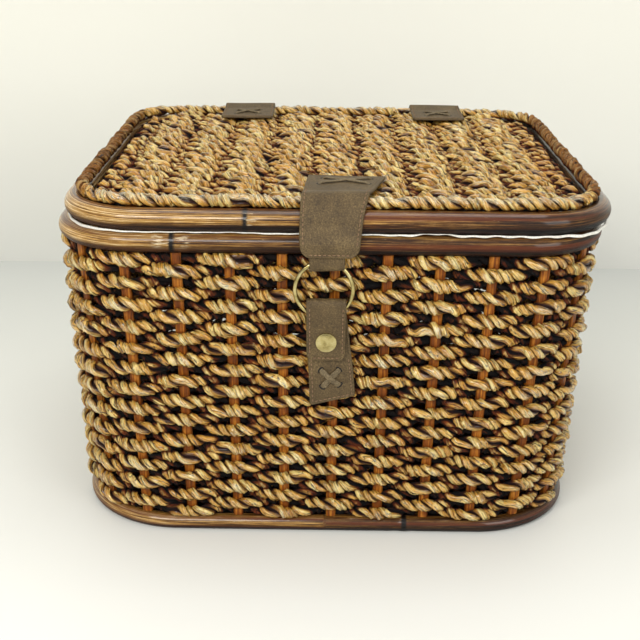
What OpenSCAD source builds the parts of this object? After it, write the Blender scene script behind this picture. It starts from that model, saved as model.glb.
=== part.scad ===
/* [Basket] */
// Outer width across the rim pole
body_w = 400; // [350:1:440]
// Outer depth across the rim pole
body_d = 362; // [320:1:400]
// Height of the rim pole's centre above the floor
rim_z = 231.7; // [200:0.1:260]
// How far each wall leans in, from the rim to the base
wall_taper = 6.3; // [2:0.1:12]
// Outer corner radius at the rim
rim_corner_r = 63; // [55:1:75]
// Outer corner radius at the base
base_corner_r = 80; // [65:1:90]

/* [Poles] */
// Diameter of the rim pole
rim_pole_d = 15; // [12:0.5:18]
// Diameter of the lid pole
lid_pole_d = 16.5; // [13:0.5:19]
// Diameter of the base pole
base_pole_d = 12; // [9:0.5:15]
// Depth of the worn flat under the base pole
base_flat = 0.4; // [0.2:0.1:1]
// Height of the swelling at a cane node, as a share of the gap to the next pole
node_share = 0.8; // [0.4:0.1:0.9]
// Width of the swelling at a cane node
node_w = 7; // [4:0.5:12]
// Place of the node on the front of the lid pole
lid_node_x = -59; // [-100:1:-40]
// Place of the node on the front of the rim pole
rim_node_x = -110; // [-120:1:-40]

/* [Weave] */
// Number of rope rows up the wall
rows = 26; // [20:2:30]
// How much taller the top row is than the bottom row, as a share
row_growth = 0.14; // [0:0.01:0.3]
// Stakes round the wall
stakes = 36; // [32:2:40]
// Stakes on the front run, set out from its middle
front_stakes = 9; // [7:2:9]
// Spacing of the front stakes
front_pitch = 36.3; // [32:0.1:38]
// Place of the middle front stake
front_offset = 3.6; // [-8:0.1:8]
// Width of a stake
stake_w = 7.2; // [5:0.1:9]
// Thickness of a stake
stake_t = 4.6; // [3:0.1:5]
// Chamfer along a stake
stake_chamfer = 1; // [0.5:0.1:1.4]
// How far a rope stands out where it passes over a stake
over_h = 8.5; // [6.5:0.1:10]
// Height of the rope's shoulder where it passes behind a stake
under_h = 3.4; // [3.3:0.1:4]
// Height of the furrow between two rows
furrow_h = 4.1; // [3.8:0.1:5]
// Depth of the wall inside its middle surface
wall_inner = 6; // [4:0.5:8]
// How far the weave's middle lies inside the rim pole's centre
weave_inset = 1; // [0:0.1:2]
// Half length of a rope's float over a stake, as a share of the pitch
float_share = 0.22; // [0.15:0.01:0.3]
// Thickness of the woven floor
floor_t = 8; // [6:0.5:8.5]
// Height of the woven floor above the ground
floor_rise = 1.5; // [1:0.1:2.5]

/* [Lid] */
// How far the lid sits to the right of the basket
lid_shift = 5.3; // [0:0.1:6]
// Rope rows across the lid
lid_rows = 37; // [31:2:41]
// Stakes across the lid
lid_stakes_n = 9; // [7:2:9]
// Spacing of the lid stakes
lid_pitch = 36; // [32:0.5:36.5]
// Half length of a rope's float over a lid stake, as a share of the pitch
lid_float_share = 0.17; // [0.12:0.01:0.18]
// Height of the woven field above the lid pole's centre
field_rise = 6.2; // [5.5:0.1:6.5]
// Diameter of the rope round the lid
border_d = 9.4; // [8:0.1:10]
// How far the border rope lies inside the lid pole's centre
border_inset = 5; // [4:0.1:6]
// Diameter of the edging cord under the lid pole
tape_d = 1; // [0.8:0.1:1.2]
// How far the edging cord lies outside the lid pole's centre
tape_outset = 4.2; // [4:0.1:5]

/* [Flap and ring] */
// Thickness of the flap and hinge leather
leather_t = 2.4; // [1.8:0.1:3]
// Place of the middle of the flap's sewn end
flap_top_x = 12; // [-4:0.1:14]
// Place of the middle of the flap's lower edge
flap_x = 0; // [-10:0.1:10]
// Distance from the basket's front to the flap's sewn end
flap_in = 71; // [66:1:86]
// Distance from the basket's front to the flap's fold
flap_fold_in = 33; // [29:1:38]
// Width of the flap at its sewn end
flap_top_w = 58; // [50:1:64]
// Width of the flap where it goes over the lid pole
flap_mid_w = 44; // [40:1:52]
// Width of the flap at its lower edge
flap_low_w = 37; // [34:1:40]
// Corner radius of the flap's lower edge
flap_corner_r = 8; // [4:1:12]
// Height of the flap's lower edge above the floor
flap_end_z = 226; // [224:0.5:228]
// Diameter of the ring, across its outside
ring_d = 43.5; // [42:0.5:48]
// Diameter of the ring's wire
wire_d = 3; // [2.5:0.1:3.6]
// Place of the ring's middle
ring_x = -3.8; // [-5:0.1:1]
// Height of the ring's centre above the floor
ring_z = 201.7; // [199:0.1:203]
// Width of the leather loop that holds the ring
loop_w = 25; // [22:1:30]
// Thickness of the loop's leather
loop_t = 1.4; // [1:0.1:1.6]

/* [Catch strap] */
// Place of the catch strap's middle
catch_x = -1.8; // [-5:0.1:1]
// Width of the catch strap
catch_w = 28; // [27:0.5:31]
// Width of the layer that is snapped down
snap_w = 27; // [24:0.5:27]
// Thickness of the catch strap
catch_t = 2; // [1.6:0.1:2.2]
// Height of the strap's fold above the floor
fold_top_z = 195.2; // [193:0.1:199]
// Height of the catch strap's lower end
catch_end_z = 116; // [110:0.5:125]
// Height of the snapped layer's lower end
snap_end_z = 148.5; // [146:0.5:152]
// Height of the snap's centre
snap_z = 163; // [161:0.5:167]
// Diameter of the snap's cap
cap_d = 14.7; // [12:0.1:16]
// Height of the snap's cap
cap_h = 2.2; // [1.8:0.1:3]
// Diameter of the snap's socket
socket_d = 9; // [7:0.5:11]
// Diameter of the snap's stud
stud_d = 6; // [4:0.5:6.5]
// Height of the snap's socket and of its stud
snap_h = 0.8; // [0.5:0.05:0.9]
// Gap between the two layers at their lower end
layer_gap = 1.6; // [1.4:0.1:2]
// Corner radius of the strap's ends
strap_corner_r = 5; // [2:0.5:8]

/* [Hinge straps] */
// Place of the left hinge strap
hinge_left_x = -77; // [-100:1:-50]
// Place of the right hinge strap
hinge_right_x = 100.5; // [70:0.5:110]
// Width of a hinge strap
hinge_w = 48; // [36:1:54]
// Distance from the basket's back to the strap's end on the lid
hinge_in = 67; // [46:1:71]
// Height of the strap's lower end on the back wall
hinge_end_z = 176; // [160:1:190]

/* [Lacing] */
// Width of a lacing thong
thong_w = 3.4; // [2.5:0.1:4]
// Thickness of a lacing thong
thong_t = 1.3; // [0.8:0.1:1.6]
// Width and height of the catch strap's cross
catch_cross = [15, 15];
// Width and length of the flap's cross
flap_cross = [34, 20];
// Width and length of each cross on the hinge straps
hinge_cross = [20, 20];

/* [Fits] */
// Gap between pieces that lie against each other
seat = 0.3; // [0.2:0.05:0.4]
// Gap round a stake in its groove
stake_fit = 0.3; // [0.2:0.05:0.4]
// Gap round the wire in its leather loop
wire_fit = 0.15; // [0.1:0.05:0.3]
// Gap between the two halves of a strap at its fold
fold_gap = 0.3; // [0.2:0.05:0.5]

/* [Hidden] */
$fn = 48;

cane = "#6b4a26";
cane_dark = "#5a3c1e";
rope = "#b8904f";
stake_tan = "#a5652a";
leather = "#6b6052";
thong = "#57503f";
pale_brass = "#b9ad7d";
off_white = "#e6e2d8";

// Levels of the poles
base_z = base_pole_d / 2 - base_flat;
lid_z = rim_z + rim_pole_d / 2 + seat + lid_pole_d / 2;
wall_z0 = base_z + base_pole_d / 2 + seat;
wall_z1 = rim_z - rim_pole_d / 2 - seat;

// Centre lines of the poles: width, depth and corner radius
rim_line = [body_w - rim_pole_d, body_d - rim_pole_d, rim_corner_r - rim_pole_d / 2];
lid_line = [body_w - lid_pole_d, body_d - lid_pole_d, rim_corner_r - lid_pole_d / 2];
base_side = 2 * wall_taper + base_pole_d;
base_line = [body_w - base_side, body_d - base_side, base_corner_r - base_pole_d / 2];

// A rounded rectangle moved inwards by a distance all round
function inward(line, by) = [line[0] - 2 * by, line[1] - 2 * by, line[2] - by];

// Middle surface of the wall: a rounded rectangle at each height
wall_foot = inward(base_line, weave_inset);
wall_head = inward(rim_line, weave_inset);
function wall_line(z) = wall_foot + (wall_head - wall_foot) * (z - base_z) / (rim_z - base_z);
function wall_face(z) = wall_line(z)[1] / 2 + over_h;
wall_lean = atan((wall_head[1] - wall_foot[1]) / 2 / (rim_z - base_z));

// The rounded rectangle as eight runs, from the left end of the front run
function turned(p, a) = [p[0] * cos(a) - p[1] * sin(a), p[0] * sin(a) + p[1] * cos(a)];
function run_lengths(q) = [for (i = [0:7])
    i % 2 == 1 ? PI * q[2] / 2 : (i % 4 == 0 ? q[0] : q[1]) - 2 * q[2]];
function sum_to(v, n) = n == 0 ? 0 : v[n - 1] + sum_to(v, n - 1);
function find_run(v, s, i = 0) = s <= v[i] || i == 7 ? [i, s / v[i]] : find_run(v, s - v[i], i + 1);
function on_run(i, f, q) = let (
    turn = 90 * floor(i / 2),
    along = i % 4 < 2 ? q[0] : q[1],
    deep = i % 4 < 2 ? q[1] : q[0],
    h = along / 2 - q[2],
    t = i % 2 == 0 ? -90 : -90 + 90 * f,
    p = i % 2 == 0
        ? [2 * h * f - h, -deep / 2]
        : [h + q[2] * cos(t), q[2] - deep / 2 + q[2] * sin(t)]
) [turned(p, turn), turned([cos(t), sin(t)], turn)];

mid_line = wall_line((wall_z0 + wall_z1) / 2);
mid_runs = run_lengths(mid_line);
mid_round = sum_to(mid_runs, 8);

// Place of a stake along the wall at mid height, from the middle of the front
front_gaps = front_stakes - 1;
rest_pitch = (mid_round - front_gaps * front_pitch) / (stakes - front_gaps);
function stake_s(k) = front_offset - front_gaps / 2 * front_pitch
    + (k <= front_gaps ? k * front_pitch : front_gaps * front_pitch + (k - front_gaps) * rest_pitch);

// The same place on another line round the basket
foot_runs = run_lengths(wall_foot);
head_runs = run_lengths(wall_head);
function along(s, line, runs) = let (
    total = sum_to(runs, 8),
    r = s * total / mid_round + line[0] / 2 - line[2],
    run = find_run(runs, r - total * floor(r / total))
) on_run(run[0], run[1], line);

// A point by its place round the wall, height, sideways step and outward step: upright lines stay straight
function wall_point(s, z, aside, out) = let (
    foot = along(s, wall_foot, foot_runs),
    head = along(s, wall_head, head_runs),
    p = foot[0] + (head[0] - foot[0]) * (z - base_z) / (rim_z - base_z),
    n = (foot[1] + head[1]) / norm(foot[1] + head[1])
) [p[0] - aside * n[1] + out * n[0], p[1] + aside * n[0] + out * n[1], z];

// Heights of the furrows between rows, from the bottom row up
function row_sum(j) = j * (1 - row_growth / 2) + row_growth * j * (j - 1) / 2 / (rows - 1);
function furrow_z(j) = wall_z0 + (wall_z1 - wall_z0) * row_sum(j) / row_sum(rows);
levels = 2 * rows;
function level_z(i) = i % 2 == 0
    ? furrow_z(i / 2)
    : (furrow_z((i - 1) / 2) + furrow_z((i + 1) / 2)) / 2;
function relief(i, k) = i % 2 == 0
    ? furrow_h
    : (rows - 1 - (i - 1) / 2 + k) % 2 == 0 ? over_h : under_h;

// Grooves for the stakes
groove_half = stake_w / 2 + stake_fit;
groove_floor = stake_t / 2 + stake_fit;

// Lid levels and the woven field
border_line = inward(lid_line, border_inset);
border_z = lid_z + sqrt(pow((lid_pole_d + border_d) / 2 + seat, 2) - pow(border_inset, 2));
field_line = inward(border_line, border_d / 2 + seat);
field_z = lid_z + field_rise;
field_top = field_z + over_h;
field_end = field_line[1] / 2 - 2;
tape_z = lid_z - sqrt(pow((lid_pole_d + tape_d) / 2 + seat / 2, 2) - pow(tape_outset, 2));
stake_reach = field_line[1] / 2 + 1.6;

// Ends of the leather on the lid
flap_start = body_d / 2 - flap_in;
flap_fold = body_d / 2 - flap_fold_in;
hinge_start = body_d / 2 - hinge_in;

// Ring, loop and catch strap
wire_r = wire_d / 2;
loop_r = wire_r + wire_fit + loop_t;
ring_u = body_d / 2 + seat + loop_r;
ring_mid_r = ring_d / 2 - wire_r;
fold_in = wire_r + seat;
fold_mid = fold_in + catch_t / 2;
fold_out = fold_in + catch_t;
fold_z = fold_top_z - fold_out;
fold_arc = 2 * asin(fold_gap / 4 / fold_mid);
snap_mid_end = layer_gap + catch_t - fold_mid;
snap_bend = ring_z - ring_d / 2 - seat - fold_z;
snap_slope = atan((fold_mid - snap_mid_end) / (snap_bend + fold_z - snap_end_z));
snap_drop = (snap_bend + fold_z - snap_z) / cos(snap_slope);

// Leather over the edge of the lid, as distance outwards and height
over_rope_r = border_d / 2 + seat + leather_t / 2;
over_pole_r = lid_pole_d / 2 + seat + leather_t / 2;
rope_at = [border_line[1] / 2, border_z];
pole_at = [lid_line[1] / 2, lid_z];
edge_step = rope_at - pole_at;
edge_turn = atan2(edge_step[1], edge_step[0]) - acos((over_pole_r - over_rope_r) / norm(edge_step));
lid_leather_z = field_top + seat + leather_t / 2;
function arc(c, r, a, b, n) = [for (i = [0:n]) c + r * [cos(a + (b - a) * i / n), sin(a + (b - a) * i / n)]];
// The same arc, drawn so that its first and last sides lie along the tangents
function tangent_arc(c, r, a, b, n) = concat(
    [c + r * [cos(a), sin(a)]],
    [for (i = [0:n - 1]) let (t = a + (b - a) * (i + 0.5) / n) c + r / cos((b - a) / 2 / n) * [cos(t), sin(t)]],
    [c + r * [cos(b), sin(b)]]
);
function edge_path(start) = concat(
    [[start, lid_leather_z], [field_end - 6, lid_leather_z]],
    arc(rope_at, over_rope_r, 96, edge_turn, 6),
    arc(pole_at, over_pole_r, edge_turn, 0, 5)
);

// Height and outward place of the lid's hinge line, on the straps' outer face
hinge_z = (rim_z + rim_pole_d / 2 + lid_z - lid_pole_d / 2) / 2;
hinge_mid_u = body_d / 2 + seat + leather_t / 2;
rest_u = wall_face(hinge_end_z) + seat + leather_t / 2;

// A strip of even thickness along a path
function beside(p, by) = [for (i = [0:len(p) - 1]) let (
    d = p[min(i + 1, len(p) - 1)] - p[max(i - 1, 0)]
) p[i] + by * [-d[1], d[0]] / norm(d)];
function backwards(p) = [for (i = [len(p) - 1:-1:0]) p[i]];
module strip(p, t) {
    polygon(concat(beside(p, t / 2), backwards(beside(p, -t / 2))));
}

// A profile drawn in outward distance and height, drawn out across the basket
module across_front(w) {
    translate([w / 2, 0, 0]) rotate([90, 0, -90]) linear_extrude(w) children();
}
module across_back(w) {
    translate([-w / 2, 0, 0]) rotate([90, 0, 90]) linear_extrude(w) children();
}

module rounded_plate(w, d, r) {
    square([w - 2 * r, d], center = true);
    square([w, d - 2 * r], center = true);
    for (x = [-1, 1], y = [-1, 1])
        translate([x * (w / 2 - r), y * (d / 2 - r)]) circle(r);
}

// A pole bent into a closed rounded rectangle
module pole_ring(q, d) {
    for (side = [0:3]) {
        along = side % 2 == 0 ? q[0] : q[1];
        deep = side % 2 == 0 ? q[1] : q[0];
        rotate(90 * side) {
            translate([q[2] - along / 2, -deep / 2, 0])
                rotate([0, 90, 0]) cylinder(d = d, h = along - 2 * q[2]);
            translate([along / 2 - q[2], q[2] - deep / 2, 0])
                rotate(-90) rotate_extrude(angle = 90) translate([q[2], 0]) circle(d = d);
        }
    }
}

// The swelling of a cane node: a short barrel on the front run
module cane_node(q, d, x) {
    half = node_w / 2;
    top = d / 2 + node_share * seat;
    translate([x, -q[1] / 2, 0]) rotate([0, 90, 0]) rotate_extrude()
        polygon([[0, -half], [d / 2 - 0.2, -half], [top, -half / 3], [top, half / 3], [d / 2 - 0.2, half], [0, half]]);
}

module base_ring() {
    color(cane_dark) difference() {
        translate([0, 0, base_z]) pole_ring(base_line, base_pole_d);
        translate([-body_w / 2, -body_d / 2, -base_pole_d]) cube([body_w, body_d, base_pole_d]);
    }
}

module base_panel() {
    q = inward(base_line, base_pole_d / 2 + seat);
    color(rope) translate([0, 0, floor_rise]) linear_extrude(floor_t) rounded_plate(q[0], q[1], q[2]);
}

module rim_ring() {
    color(cane) translate([0, 0, rim_z]) {
        pole_ring(rim_line, rim_pole_d);
        cane_node(rim_line, rim_pole_d, rim_node_x);
    }
}

// The wall: rope rows that pass over and behind the stakes, with the stakes let in from inside
module woven_wall() {
    cols = 2 * stakes;
    inner = 5 * stakes;
    skin = [for (i = [0:levels], k = [0:stakes - 1], side = [-1, 1]) let (
        step = side < 0 ? stake_s(k) - stake_s(k - 1) : stake_s(k + 1) - stake_s(k),
        gap = k == 0 && side < 0 ? rest_pitch : k == stakes - 1 && side > 0 ? rest_pitch : step
    ) wall_point(stake_s(k) + side * float_share * gap, level_z(i), 0, relief(i, k))];
    lining = [for (z = [wall_z0, wall_z1], k = [0:stakes - 1], c = [0:4]) let (
        s = stake_s(k),
        gap = k < front_gaps ? front_pitch : rest_pitch
    ) c == 4
        ? wall_point(s + gap / 2, z, 0, -wall_inner)
        : wall_point(s, z, c < 2 ? -groove_half : groove_half, c == 0 || c == 3 ? -wall_inner : groove_floor)];
    n = len(skin);
    function o(i, c) = i * cols + c % cols;
    function l(e, c) = n + e * inner + c % inner;
    outer_faces = [for (i = [0:levels - 1], c = [0:cols - 1]) each let (
        a = floor(c / 2),
        b = floor((c + 1) / 2),
        rising = relief(i, a) + relief(i + 1, b) >= relief(i + 1, a) + relief(i, b)
    ) rising
        ? [[o(i, c), o(i + 1, c), o(i + 1, c + 1)], [o(i, c), o(i + 1, c + 1), o(i, c + 1)]]
        : [[o(i, c), o(i + 1, c), o(i, c + 1)], [o(i + 1, c), o(i + 1, c + 1), o(i, c + 1)]]];
    inner_faces = [for (c = [0:inner - 1], h = [0, 1])
        h == 0 ? [l(0, c), l(0, c + 1), l(1, c + 1)] : [l(0, c), l(1, c + 1), l(1, c)]];
    end_faces = [for (e = [0, 1], k = [0:stakes - 1]) let (
        i = e * levels,
        a = o(i, 2 * k),
        b = o(i, 2 * k + 1),
        d = o(i, 2 * k + 2),
        m = [for (c = [0:5]) l(e, 5 * k + c)]
    ) each [for (f = [
        [a, m[1], m[0]], [a, b, m[1]], [b, m[2], m[1]], [b, m[3], m[2]],
        [b, d, m[4]], [d, m[5], m[4]], [b, m[4], m[3]]
    ]) e == 0 ? f : backwards(f)]];
    color(rope) polyhedron(concat(skin, lining), concat(outer_faces, inner_faces, end_faces), convexity = 10);
}

// One stake of split cane, leaning with the wall
module wall_stake(k) {
    w = stake_w / 2;
    t = stake_t / 2;
    c = stake_chamfer;
    ring = [[c - w, -t], [w - c, -t], [w, c - t], [w, t - c], [w - c, t], [c - w, t], [-w, t - c], [-w, c - t]];
    points = [for (z = [wall_z0, wall_z1], p = ring) wall_point(stake_s(k), z, p[0], p[1])];
    sides = [for (i = [0:7], h = [0, 1]) let (j = (i + 1) % 8)
        h == 0 ? [i, j, j + 8] : [i, j + 8, i + 8]];
    ends = [[for (i = [0:7]) i], [for (i = [7:-1:0]) i + 8]];
    polyhedron(points, concat(sides, ends));
}

// Stakes by the side that they stand on, with the corners shared out
first_right = front_stakes;
last_right = floor(stakes / 2) - 5;
last_back = last_right + front_stakes + 1;
module stake_run(a, b) {
    color(stake_tan) for (k = [a:b]) wall_stake(k);
}
module stakes_front() { stake_run(0, front_stakes - 1); }
module stakes_right() { stake_run(first_right, last_right); }
module stakes_back() { stake_run(last_right + 1, last_back); }
module stakes_left() { stake_run(last_back + 1, stakes - 1); }

module lid_ring() {
    color(cane) translate([lid_shift, 0, lid_z]) {
        pole_ring(lid_line, lid_pole_d);
        cane_node(lid_line, lid_pole_d, lid_node_x - lid_shift);
    }
}

module lid_border_rope() {
    color(rope) translate([lid_shift, 0, border_z]) pole_ring(border_line, border_d);
}

module lid_edge_cord() {
    color(off_white) translate([lid_shift, 0, tape_z]) pole_ring(inward(lid_line, -tape_outset), tape_d);
}

function lid_stake_x(k) = (k - (lid_stakes_n - 1) / 2) * lid_pitch;

module lid_stakes() {
    w = stake_w / 2;
    t = stake_t / 2;
    c = stake_chamfer;
    color(stake_tan) translate([lid_shift, 0, field_z]) for (k = [0:lid_stakes_n - 1])
        translate([lid_stake_x(k), stake_reach, 0]) rotate([90, 0, 0]) linear_extrude(2 * stake_reach)
            polygon([[c - w, -t], [w - c, -t], [w, c - t], [w, t - c], [w - c, t], [c - w, t], [-w, t - c], [-w, c - t]]);
}

// The lid's woven field: rope rows from side to side, with the stakes let in from below
module lid_weave() {
    steps = 2 * lid_rows;
    cols = 2 * lid_stakes_n + 2;
    half = field_line[0] / 2;
    r = field_line[2];
    ends = 4 * lid_stakes_n;
    function row_y(i) = field_end * (2 * i / steps - 1);
    function edge_x(y) = let (d = max(abs(y) - (field_line[1] / 2 - r), 0)) half - r + sqrt(r * r - d * d);
    function top_x(c, y) = c == 0 ? -edge_x(y) : c == cols - 1 ? edge_x(y)
        : lid_stake_x(floor((c - 1) / 2)) + (c % 2 == 1 ? -1 : 1) * lid_float_share * lid_pitch;
    function top_h(i, c) = i % 2 == 0 || c == 0 || c == cols - 1 ? furrow_h
        : ((i - 1) / 2 + floor((c - 1) / 2)) % 2 == 0 ? over_h : under_h;
    top = [for (i = [0:steps], c = [0:cols - 1]) [top_x(c, row_y(i)), row_y(i), top_h(i, c)]];
    under = [for (y = [-field_end, field_end], k = [0:lid_stakes_n - 1], c = [0:3])
        [lid_stake_x(k) + (c < 2 ? -1 : 1) * groove_half, y, c == 0 || c == 3 ? -wall_inner : groove_floor]];
    rim = [for (side = [-1, 1], i = [0:steps]) [side * edge_x(row_y(i)), row_y(i), -wall_inner]];
    nu = len(top);
    nr = nu + len(under);
    function t(i, c) = i * cols + c;
    function u(e, c) = nu + e * ends + c;
    function s(side, i) = nr + side * (steps + 1) + i;
    top_faces = [for (i = [0:steps - 1], c = [0:cols - 2]) each
        top_h(i, c) + top_h(i + 1, c + 1) >= top_h(i + 1, c) + top_h(i, c + 1)
        ? [[t(i, c), t(i + 1, c), t(i + 1, c + 1)], [t(i, c), t(i + 1, c + 1), t(i, c + 1)]]
        : [[t(i, c), t(i + 1, c), t(i, c + 1)], [t(i + 1, c), t(i + 1, c + 1), t(i, c + 1)]]];
    under_faces = [for (c = [0:ends - 2], h = [0, 1])
        h == 0 ? [u(0, c), u(0, c + 1), u(1, c + 1)] : [u(0, c), u(1, c + 1), u(1, c)]];
    margins = [for (i = [0:steps]) each let (j = min(i + 1, steps)) i < steps
        ? [[u(0, 0), s(0, j), s(0, i)], [u(0, ends - 1), s(1, i), s(1, j)]]
        : [[u(0, 0), u(1, 0), s(0, i)], [u(0, ends - 1), s(1, i), u(1, ends - 1)]]];
    sides = [for (i = [0:steps - 1], h = [0:3])
        h == 0 ? [s(0, i), s(0, i + 1), t(i + 1, 0)] : h == 1 ? [s(0, i), t(i + 1, 0), t(i, 0)]
        : h == 2 ? [s(1, i), t(i + 1, cols - 1), s(1, i + 1)] : [s(1, i), t(i, cols - 1), t(i + 1, cols - 1)]];
    end_faces = [for (e = [0, 1], k = [0:lid_stakes_n]) let (
        i = e * steps,
        p = t(i, 2 * k),
        q = k == 0 ? s(0, i) : u(e, 4 * k - 1),
        a = t(i, 2 * k + 1),
        b = t(i, 2 * k + 2),
        m = [for (c = [0:3]) u(e, 4 * k + c)],
        tris = k == lid_stakes_n
            ? [[p, a, s(1, i)], [p, s(1, i), q]]
            : [[p, a, m[0]], [p, m[0], q], [a, m[1], m[0]], [a, b, m[1]], [b, m[2], m[1]], [b, m[3], m[2]]]
    ) each [for (f = tris) e == 0 ? f : backwards(f)]];
    color(rope) translate([lid_shift, 0, field_z])
        polyhedron(concat(top, under, rim), concat(top_faces, under_faces, margins, sides, end_faces),
            convexity = 10);
}

// A flat thong with rounded ends, and two that cross
module thong_flat(size, side) {
    reach = size / 2;
    step = norm(reach);
    rotate(side * atan2(reach[1], reach[0])) {
        square([2 * step, thong_w], center = true);
        for (x = [-1, 1]) translate([x * step, 0]) circle(d = thong_w);
    }
}
module cross_lacing(size) {
    color(thong) linear_extrude(thong_t) {
        thong_flat(size, 1);
        thong_flat(size, -1);
    }
}

// The catch strap's own frame: its fold's centre, leaning with the wall
module catch_frame() {
    translate([catch_x, -ring_u, fold_z]) rotate([wall_lean, 0, 0]) children();
}
module strap_end(w, z, r) {
    rotate([90, 0, 0]) linear_extrude(8 * catch_t, center = true) {
        translate([-w / 2, z + r]) square([w, fold_top_z - z]);
        translate([r - w / 2, z]) square([w - 2 * r, r + 1]);
        for (x = [-1, 1]) translate([x * (w / 2 - r), z + r]) circle(r);
    }
}

module catch_strap() {
    back_end = catch_end_z - fold_z;
    color(leather) catch_frame() intersection() {
        across_front(catch_w)
            strip(concat([[-fold_mid, back_end]], tangent_arc([0, 0], fold_mid, 180, 90 + fold_arc, 6)), catch_t);
        strap_end(catch_w, back_end, strap_corner_r / 2);
    }
}

module catch_lacing() {
    catch_frame() translate([0, fold_in, (catch_end_z + snap_end_z) / 2 - fold_z])
        rotate([90, 0, 0]) cross_lacing(catch_cross);
}

// The snapped layer's own frame: the snap's centre on its middle surface
module snap_frame() {
    catch_frame() translate([0, -fold_mid, snap_bend]) rotate([snap_slope, 0, 0])
        translate([0, 0, -snap_drop]) children();
}

module snap_strap() {
    low = snap_end_z - fold_z;
    color(leather) catch_frame() intersection() {
        across_front(snap_w)
            strip(concat(tangent_arc([0, 0], fold_mid, 90 - fold_arc, 0, 6), [[fold_mid, snap_bend], [snap_mid_end, low]]),
                catch_t);
        strap_end(snap_w, low, strap_corner_r);
    }
}

module snap_stud() {
    color(pale_brass) catch_frame() translate([0, fold_in, snap_z - fold_z])
        rotate([90, 0, 0]) cylinder(d = stud_d, h = snap_h);
}

module snap_socket() {
    color(pale_brass) snap_frame() translate([0, catch_t / 2, 0])
        rotate([-90, 0, 0]) cylinder(d = socket_d, h = snap_h);
}

module snap_cap() {
    rise = cap_h / 2;
    dome_r = (pow(cap_d / 2, 2) + rise * rise) / 2 / rise;
    color(pale_brass) snap_frame() translate([0, -catch_t / 2, 0]) rotate([90, 0, 0]) intersection() {
        cylinder(d = cap_d, h = cap_h);
        translate([0, 0, cap_h - dome_r]) sphere(dome_r, $fn = 96);
    }
}

// The ring and the leather loop that wraps its wire
module o_ring() {
    color(pale_brass) translate([ring_x, -ring_u, ring_z])
        rotate([90, 0, 0]) rotate_extrude() translate([ring_mid_r, 0]) circle(wire_r);
}

module ring_loop() {
    sweep = 2 * asin(loop_w / 2 / ring_mid_r);
    tab_z = ring_mid_r * cos(sweep / 2);
    color(leather) translate([ring_x, -ring_u, ring_z]) rotate([90, 0, 0]) difference() {
        union() {
            rotate(90 - sweep / 2) rotate_extrude(angle = sweep) translate([ring_mid_r, 0]) circle(loop_r);
            translate([-loop_w / 2, tab_z + 2, -loop_t])
                cube([loop_w, flap_end_z + 9 - ring_z - tab_z - 2, 2 * loop_t]);
        }
        rotate_extrude() translate([ring_mid_r, 0]) circle(wire_r + wire_fit);
    }
}

// The flap: a sewn end on the lid, and a free end that folds up
flap_u = ring_u + loop_r + seat + leather_t / 2;
flap_path = concat(edge_path(flap_start), [[flap_u, lid_z - 12], [flap_u, flap_end_z]]);
flap_skew = flap_top_x - flap_x;
flap_over = edge_path(flap_start)[13][0];
flap_reach = flap_top_w / 2 + abs(flap_skew);
module flap_outline() {
    linear_extrude(2 * lid_z)
        polygon([
            [flap_skew - flap_top_w / 2, -flap_start], [flap_skew + flap_top_w / 2, -flap_start],
            [flap_mid_w / 2, -flap_over], [flap_mid_w / 2, -flap_u - leather_t],
            [-flap_mid_w / 2, -flap_u - leather_t], [-flap_mid_w / 2, -flap_over]
        ]);
}
module flap_front_outline() {
    low = flap_low_w / 2 - flap_corner_r;
    z = flap_end_z + flap_corner_r;
    right = concat(
        [[flap_reach, 2 * lid_z], [flap_reach, lid_z + lid_pole_d / 2], [flap_mid_w / 2, lid_z]],
        arc([low, z], flap_corner_r, 0, -90, 6)
    );
    rotate([90, 0, 0]) linear_extrude(body_d)
        polygon(concat(right, [for (q = backwards(right)) [-q[0], q[1]]]));
}
module flap_leather() {
    color(leather) translate([flap_x, 0, 0]) intersection() {
        across_front(2 * flap_reach) strip(flap_path, leather_t);
        flap_outline();
        flap_front_outline();
    }
}
module flap_anchor() {
    intersection() {
        flap_leather();
        translate([-body_w / 2, fold_gap / 2 - flap_fold, 0]) cube([body_w, body_d, 2 * lid_z]);
    }
}
module front_flap() {
    intersection() {
        flap_leather();
        translate([-body_w / 2, -fold_gap / 2 - flap_fold - body_d, 0]) cube([body_w, body_d, 2 * lid_z]);
    }
}
module flap_lacing() {
    u = (flap_start + flap_fold) / 2;
    x = flap_x + flap_skew * (flap_over - u) / (flap_over - flap_start);
    translate([x, -u, lid_leather_z + leather_t / 2]) cross_lacing(flap_cross);
}

// Hinge straps: upper halves on the lid, lower halves on the back wall
module hinge_upper(x) {
    color(leather) translate([x, 0, 0])
        across_back(hinge_w) strip(concat(edge_path(hinge_start), [[hinge_mid_u, hinge_z + fold_gap / 2]]), leather_t);
}
module hinge_lower(x) {
    color(leather) translate([x, 0, 0])
        across_back(hinge_w) strip([
            [hinge_mid_u, hinge_z - fold_gap / 2], [hinge_mid_u, rim_z],
            [hinge_mid_u, wall_z1], [rest_u, hinge_end_z]
        ], leather_t);
}
module upper_cross(x) {
    translate([x, hinge_start + hinge_cross[1], lid_leather_z + leather_t / 2]) cross_lacing(hinge_cross);
}
module lower_cross(x) {
    lean = atan((hinge_mid_u - rest_u) / (wall_z1 - hinge_end_z));
    translate([x, rest_u, hinge_end_z]) rotate([-lean, 0, 0])
        translate([0, leather_t / 2, hinge_cross[1]]) rotate([-90, 0, 0]) cross_lacing(hinge_cross);
}

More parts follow.
